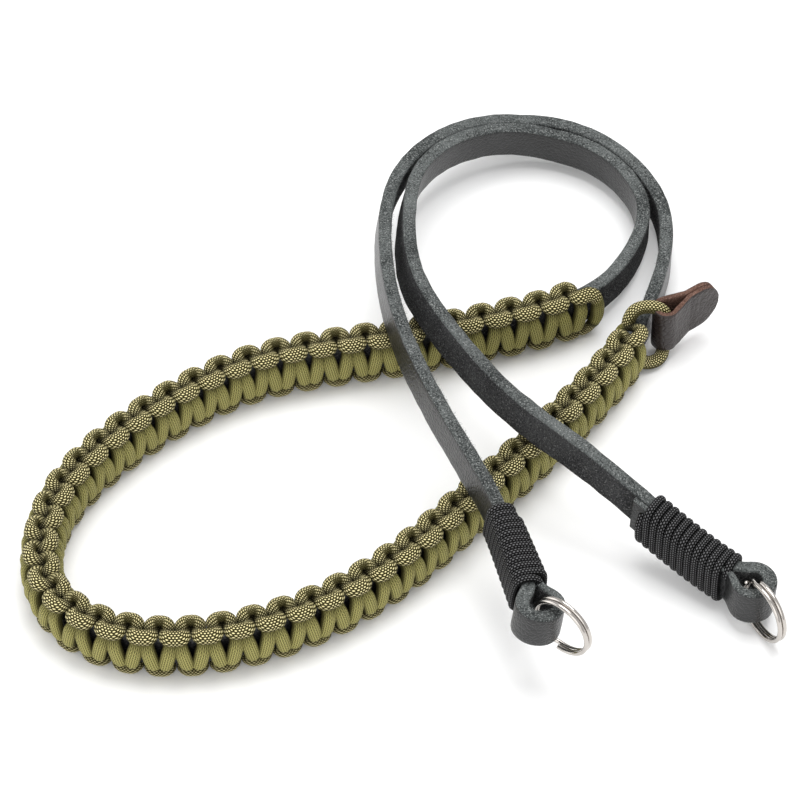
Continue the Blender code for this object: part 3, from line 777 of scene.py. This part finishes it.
def cord_sheath_group():
    """A woven sheath: rows of raised dots where it is open, fine slanting lines where it is drawn tight,
    and painted shade on the sides that face the neighbouring cords.
    """
    takes = (
        ("Row", "Float"), ("Around", "Float"), ("Open", "Float"), ("Side Shade Amount", "Float"), ("Columns", "Float"),
        ("Tight Color", "Color"), ("Dot Color", "Color"), ("Gap And Shade Color", "Color"),
    )
    graph, takes, gives = new_group("cord_sheath", takes, (("Color", "Color"), ("Height", "Float")))
    spread = graph.math("MULTIPLY", takes["Around"], takes["Columns"])
    column = graph.math("FLOOR", spread)
    aside = graph.math("SUBTRACT", graph.math("SUBTRACT", spread, column), 0.5)
    stagger = graph.math("MULTIPLY", graph.math("MODULO", column, 2.0), 0.5)
    row = graph.math("ADD", takes["Row"], stagger)
    ahead = graph.math("SUBTRACT", graph.math("FRACT", row), 0.5)
    square = graph.math("ADD", graph.math("MULTIPLY", aside, aside), graph.math("MULTIPLY", ahead, ahead))
    dot = graph.span(square, 0.15, 0.015)
    pair = graph.math("SUBTRACT", graph.math("FRACT", graph.math("MULTIPLY", spread, 0.5)), 0.5)
    slant = graph.math("MULTIPLY", graph.math("ABSOLUTE", pair), 2.6)
    wave = graph.math("SINE", graph.math("MULTIPLY", graph.math("ADD", takes["Row"], slant), 2 * math.pi))
    line = graph.span(wave, -0.7, 0.7)
    groove = graph.span(graph.math("ABSOLUTE", aside), 0.5, 0.25)
    tight = graph.math("MULTIPLY", graph.math("MULTIPLY_ADD", line, 0.72, 0.28), groove)
    between = graph.math("MULTIPLY_ADD", tight, -1.25, 0.95, clamp=True)
    tight_colour = graph.mix(between, takes["Tight Color"], takes["Gap And Shade Color"])
    open_colour = graph.mix(dot, takes["Gap And Shade Color"], takes["Dot Color"])
    # Painted shade: the sides of the cord, where it faces its neighbours, are mixed towards the gap colour;
    # a layer on each ring sets how strongly.
    from_inside = graph.math("ABSOLUTE", graph.math("SUBTRACT", takes["Around"], 0.5))
    from_outside = graph.math("SUBTRACT", 0.5, from_inside)
    side_shade_strength = graph.math("MULTIPLY", takes["Side Shade Amount"], 0.85)
    painted_side_shade = graph.math("MULTIPLY", graph.span(from_outside, 0.11, 0.23), side_shade_strength)
    woven = graph.mix(takes["Open"], tight_colour, open_colour)
    graph.put(gives.inputs["Color"], graph.mix(painted_side_shade, woven, takes["Gap And Shade Color"]))
    graph.put(gives.inputs["Height"], graph.blend(takes["Open"], tight, dot))
    return graph.tree


def leather_grain_group():
    """Fine pebbles and creases of finished leather, and where it is worn."""
    sockets = (("Vector", "Vector"), ("Size", "Float"))
    graph, takes, gives = new_group("leather_grain", sockets, (("Height", "Float"), ("Wear", "Float")))
    inputs = {"Vector": takes["Vector"], "Scale": graph.math("MULTIPLY", takes["Size"], 1.6)}
    pebble = graph.add("ShaderNodeTexVoronoi", inputs, feature="DISTANCE_TO_EDGE").outputs["Distance"]
    fine = graph.noise(takes["Vector"], graph.math("MULTIPLY", takes["Size"], 2.0), 4.0, 0.6)
    broad = graph.noise(takes["Vector"], graph.math("MULTIPLY", takes["Size"], 0.16), 3.0)
    crease = graph.span(pebble, 0.0, 0.22)
    height = graph.math("ADD", graph.math("MULTIPLY", crease, 0.35), graph.math("MULTIPLY", fine, 0.5))
    graph.put(gives.inputs["Height"], graph.math("MULTIPLY_ADD", broad, 0.8, height))
    graph.put(gives.inputs["Wear"], graph.span(broad, 0.42, 0.72))
    return graph.tree


def suede_group():
    """Nap of raw leather: uneven tone, light specks and a rough surface."""
    graph, takes, gives = new_group(
        "suede", (("Vector", "Vector"),), (("Tone", "Float"), ("Specks", "Float"), ("Height", "Float")))
    nap = graph.noise(takes["Vector"], 2100.0, 4.0, 0.8)
    broad = graph.noise(takes["Vector"], 90.0, 2.0)
    speck = graph.noise(takes["Vector"], 2500.0, 2.0, 0.5)
    graph.put(gives.inputs["Tone"], graph.span(graph.math("MULTIPLY_ADD", broad, 0.35, nap), 0.54, 0.82))
    graph.put(gives.inputs["Specks"], graph.span(speck, 0.55, 0.70))
    graph.put(gives.inputs["Height"], nap)
    return graph.tree


def material(name, roughness, metallic=0.0, specular=0.5):
    mat = bpy.data.materials.new(name)
    mat.use_nodes = True
    graph = Graph(mat.node_tree)
    shader = mat.node_tree.nodes["Principled BSDF"]
    shader.inputs["Roughness"].default_value = roughness
    shader.inputs["Metallic"].default_value = metallic
    shader.inputs["Specular IOR Level"].default_value = specular
    return mat, graph, shader


def place_of(graph):
    return graph.add("ShaderNodeTexCoord").outputs["Object"]


def raised(graph, shader, height, distance, strength=1.0):
    inputs = {"Height": height, "Distance": distance, "Strength": strength}
    graph.put(shader.inputs["Normal"], graph.add("ShaderNodeBump", inputs).outputs["Normal"])


def grain_material(name, tones, roughness, size, group, depth):
    """Finished leather."""
    colour, worn = tones
    mat, graph, shader = material(name, roughness)
    node = graph.add("ShaderNodeGroup", node_tree=group)
    graph.put(node.inputs["Vector"], place_of(graph))
    graph.put(node.inputs["Size"], size)
    graph.put(shader.inputs["Base Color"], graph.mix(node.outputs["Wear"], colour, worn))
    raised(graph, shader, node.outputs["Height"], depth)
    return mat


def suede_material(name, tones, group, depth):
    """Raw leather."""
    dark, light, specks = tones
    mat, graph, shader = material(name, 0.92, specular=0.25)
    node = graph.add("ShaderNodeGroup", node_tree=group)
    graph.put(node.inputs["Vector"], place_of(graph))
    tone = graph.mix(node.outputs["Tone"], dark, light)
    graph.put(shader.inputs["Base Color"], graph.mix(node.outputs["Specks"], tone, specks))
    raised(graph, shader, node.outputs["Height"], depth)
    return mat


def cord_material(name, tones, columns, roughness, group, depth):
    """Woven cord. Its UV map and its layers say where each row lies, how open the weave is and where shade
    is painted into its colour.
    """
    tight, dot, gap_and_shade = tones
    mat, graph, shader = material(name, roughness, specular=0.10)
    place = graph.add("ShaderNodeUVMap", uv_map="sheath").outputs["UV"]
    apart = graph.add("ShaderNodeSeparateXYZ", {"Vector": place})
    opened = graph.add("ShaderNodeAttribute", attribute_name="open").outputs["Fac"]
    node = graph.add("ShaderNodeGroup", node_tree=group)
    graph.put(node.inputs["Row"], apart.outputs["X"])
    graph.put(node.inputs["Around"], apart.outputs["Y"])
    graph.put(node.inputs["Open"], opened)
    graph.put(node.inputs["Side Shade Amount"], graph.add("ShaderNodeAttribute", attribute_name="side_shade_amount").outputs["Fac"])
    graph.put(node.inputs["Columns"], columns)
    graph.put(node.inputs["Tight Color"], tight)
    graph.put(node.inputs["Dot Color"], dot)
    graph.put(node.inputs["Gap And Shade Color"], gap_and_shade)
    # Painted shade: the shade layer mixes the colour towards a near-black copy of the gap colour.
    deep = graph.add("ShaderNodeAttribute", attribute_name="shade").outputs["Fac"]
    dark = tuple(0.12 * part for part in gap_and_shade[:3]) + (1,)
    colour = graph.mix(graph.math("MULTIPLY", deep, 0.92), node.outputs["Color"], dark)
    graph.put(shader.inputs["Base Color"], colour)
    raised(graph, shader, node.outputs["Height"], depth)
    return mat


def shared_group(name, make):
    return bpy.data.node_groups.get(name) or make()


def steel_material():
    mat, _, shader = material("polished_steel", 0.16, metallic=1.0)
    shader.inputs["Base Color"].default_value = STEEL_COLOUR
    return mat


# Settings, operators and panel

class LeatherSettings(bpy.types.PropertyGroup):
    fibres: bpy.props.IntProperty(
        name="Loose fibres", description="How many fibres stand off the raw leather", default=9000, min=0)
    grain_depth: bpy.props.FloatProperty(
        name="Grain depth", description="How deep the grain is", default=0.00022, unit="LENGTH")


class CordSettings(bpy.types.PropertyGroup):
    weave_depth: bpy.props.FloatProperty(
        name="Weave depth", description="How far the sheath's threads stand up", default=0.00022,
        unit="LENGTH")
    columns: bpy.props.IntProperty(
        name="Threads round the cord", description="Threads counted round the sheath", default=20, min=4)


class StageSettings(bpy.types.PropertyGroup):
    key_power: bpy.props.FloatProperty(
        name="Key light", description="Power of the light overhead", default=8.0, unit="POWER")
    fill_power: bpy.props.FloatProperty(
        name="Fill light", description="Power of the light in front", default=4.0, unit="POWER")
    side_power: bpy.props.FloatProperty(
        name="Side light", description="Power of the light on the left", default=3.0, unit="POWER")
    sky: bpy.props.FloatProperty(
        name="Surroundings", description="Brightness of the white surroundings", default=0.74, min=0)


class STRAP_OT_leather(bpy.types.Operator):
    """Build the leather strap with its eyes, tails and loose fibres"""
    bl_idname = "strap.leather"
    bl_label = "Leather strap"

    def execute(self, context):
        settings = context.scene.strap_leather
        grain = shared_group("leather_grain", leather_grain_group)
        suede = shared_group("suede", suede_group)
        black = grain_material("black_grain", GRAIN_TONES, 0.36, 480.0, grain, settings.grain_depth)
        flesh = suede_material("black_flesh", FLESH_TONES, suede, 0.0003)
        cut = suede_material("black_cut_edge", CUT_TONES, suede, 0.00018)
        shape = leather_strap(Route(), [black, flesh, cut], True)
        nap, _, shader = material("grey_nap", 0.9)
        shader.inputs["Base Color"].default_value = NAP_COLOUR
        leather_fibres(shape, nap, settings.fibres)
        return {"FINISHED"}


class STRAP_OT_braid(bpy.types.Operator):
    """Build both strands of the braid and the cord's end loop"""
    bl_idname = "strap.braid"
    bl_label = "Cord braid"

    def execute(self, context):
        settings = context.scene.strap_cord
        sheath = shared_group("cord_sheath", cord_sheath_group)
        columns = float(settings.columns)
        olive = cord_material("olive_sheath", OLIVE_TONES, columns, 0.62, sheath, settings.weave_depth)
        route = Route()
        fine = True
        strand(route, "braid_strand_front", False, olive, fine)
        strand(route, "braid_strand_back", True, olive, fine)
        tab_loop(route, olive)
        return {"FINISHED"}


class STRAP_OT_whippings(bpy.types.Operator):
    """Build the black cord windings at both folded ends"""
    bl_idname = "strap.whippings"
    bl_label = "Whippings"

    def execute(self, context):
        sheath = shared_group("cord_sheath", cord_sheath_group)
        black = cord_material("black_sheath", BLACK_TONES, 10.0, 0.55, sheath, 0.00015)
        route = Route()
        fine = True
        whipping(route, "whipping_left_turns", "whipping_left", -1, black, fine)
        whipping(route, "whipping_right_turns", "whipping_right", 1, black, fine)
        return {"FINISHED"}


class STRAP_OT_rings(bpy.types.Operator):
    """Build both split rings"""
    bl_idname = "strap.rings"
    bl_label = "Split rings"

    def execute(self, context):
        steel = steel_material()
        route = Route()
        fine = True
        split_ring(route, "split_ring_left", -1, -40, -112, steel, fine)
        split_ring(route, "split_ring_right", 1, -58, 128, steel, fine)
        return {"FINISHED"}


class STRAP_OT_tab(bpy.types.Operator):
    """Build the folded label tab"""
    bl_idname = "strap.tab"
    bl_label = "Label tab"

    def execute(self, context):
        grain = shared_group("leather_grain", leather_grain_group)
        suede = shared_group("suede", suede_group)
        brown = grain_material("brown_grain", TAB_TONES, 0.42, 420.0, grain, 0.00035)
        cut = suede_material("brown_cut_edge", TAB_CUT_TONES, suede, 0.0003)
        label_tab(Route(), [brown, cut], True)
        return {"FINISHED"}


class STRAP_OT_stage(bpy.types.Operator):
    """Set up the floor, the lights and the camera"""
    bl_idname = "strap.stage"
    bl_label = "Studio"

    def execute(self, context):
        settings = context.scene.strap_stage
        scene = context.scene
        scene.view_settings.view_transform = "Standard"
        floor_mesh = bpy.data.meshes.new("floor")
        corners = [(FLOOR_SIZE * x, FLOOR_SIZE * y, 0) for x, y in ((-1, -1), (1, -1), (1, 1), (-1, 1))]
        floor_mesh.from_pydata(corners, [], [(0, 1, 2, 3)])
        white, _, shader = material("white_floor", 0.85, specular=0.1)
        shader.inputs["Base Color"].default_value = FLOOR_COLOUR
        floor_mesh.materials.append(white)
        floor = bpy.data.objects.new("floor", floor_mesh)
        scene.collection.objects.link(floor)
        lamp("key_light", (0.10, 0.22, 0.95), (0, 0, 0), 0.7, settings.key_power)
        lamp("fill_light", (-0.15, -1.0, 0.55), (0, 0, 0), 0.9, settings.fill_power)
        lamp("side_light", (-1.0, 0.15, 0.35), (0, 0, 0), 0.8, settings.side_power)
        world = bpy.data.worlds.new("white_room")
        world.use_nodes = True
        world.node_tree.nodes["Background"].inputs["Color"].default_value = (1, 1, 1, 1)
        world.node_tree.nodes["Background"].inputs["Strength"].default_value = settings.sky
        scene.world = world
        data = bpy.data.cameras.new("camera")
        data.lens = CAMERA_LENS
        data.sensor_width = 36
        data.clip_start = 0.05
        camera = bpy.data.objects.new("camera", data)
        angle = math.radians(CAMERA_HEIGHT_ANGLE)
        back = np.array((0.0, -math.cos(angle), math.sin(angle))) * CAMERA_DISTANCE
        camera.location = tuple(back + ORIGIN)
        camera.rotation_euler = (math.pi / 2 - angle, 0, 0)
        scene.collection.objects.link(camera)
        scene.camera = camera
        return {"FINISHED"}


def lamp(name, place, target, size, power):
    """A square area light that faces the target."""
    data = bpy.data.lights.new(name, "AREA")
    data.shape = "SQUARE"
    data.size = size
    data.energy = power
    light = bpy.data.objects.new(name, data)
    light.location = place
    toward = np.array(target) - np.array(place)
    flat = math.hypot(toward[0], toward[1])
    light.rotation_euler = (math.atan2(flat, -toward[2]), 0, math.atan2(-toward[0], toward[1]))
    bpy.context.scene.collection.objects.link(light)


class STRAP_PT_panel(bpy.types.Panel):
    bl_idname = "STRAP_PT_panel"
    bl_label = "Camera strap"
    bl_space_type = "VIEW_3D"
    bl_region_type = "UI"
    bl_category = "Strap"

    def draw(self, context):
        scene = context.scene
        for step in STEPS:
            self.layout.operator(step.bl_idname)
        for settings in (scene.strap_leather, scene.strap_cord, scene.strap_stage):
            for key in settings.__annotations__:
                self.layout.prop(settings, key)


STEPS = (STRAP_OT_leather, STRAP_OT_braid, STRAP_OT_whippings, STRAP_OT_rings, STRAP_OT_tab, STRAP_OT_stage)
CLASSES = (LeatherSettings, CordSettings, StageSettings) + STEPS + (STRAP_PT_panel,)


def register():
    for item in CLASSES:
        bpy.utils.register_class(item)
    bpy.types.Scene.strap_leather = bpy.props.PointerProperty(type=LeatherSettings)
    bpy.types.Scene.strap_cord = bpy.props.PointerProperty(type=CordSettings)
    bpy.types.Scene.strap_stage = bpy.props.PointerProperty(type=StageSettings)


def unregister():
    for name in ("strap_leather", "strap_cord", "strap_stage"):
        delattr(bpy.types.Scene, name)
    for item in reversed(CLASSES):
        bpy.utils.unregister_class(item)


def main():
    register()
    bpy.ops.strap.leather()
    bpy.ops.strap.braid()
    bpy.ops.strap.whippings()
    bpy.ops.strap.rings()
    bpy.ops.strap.tab()
    bpy.ops.strap.stage()


if __name__ == "__main__":
    main()
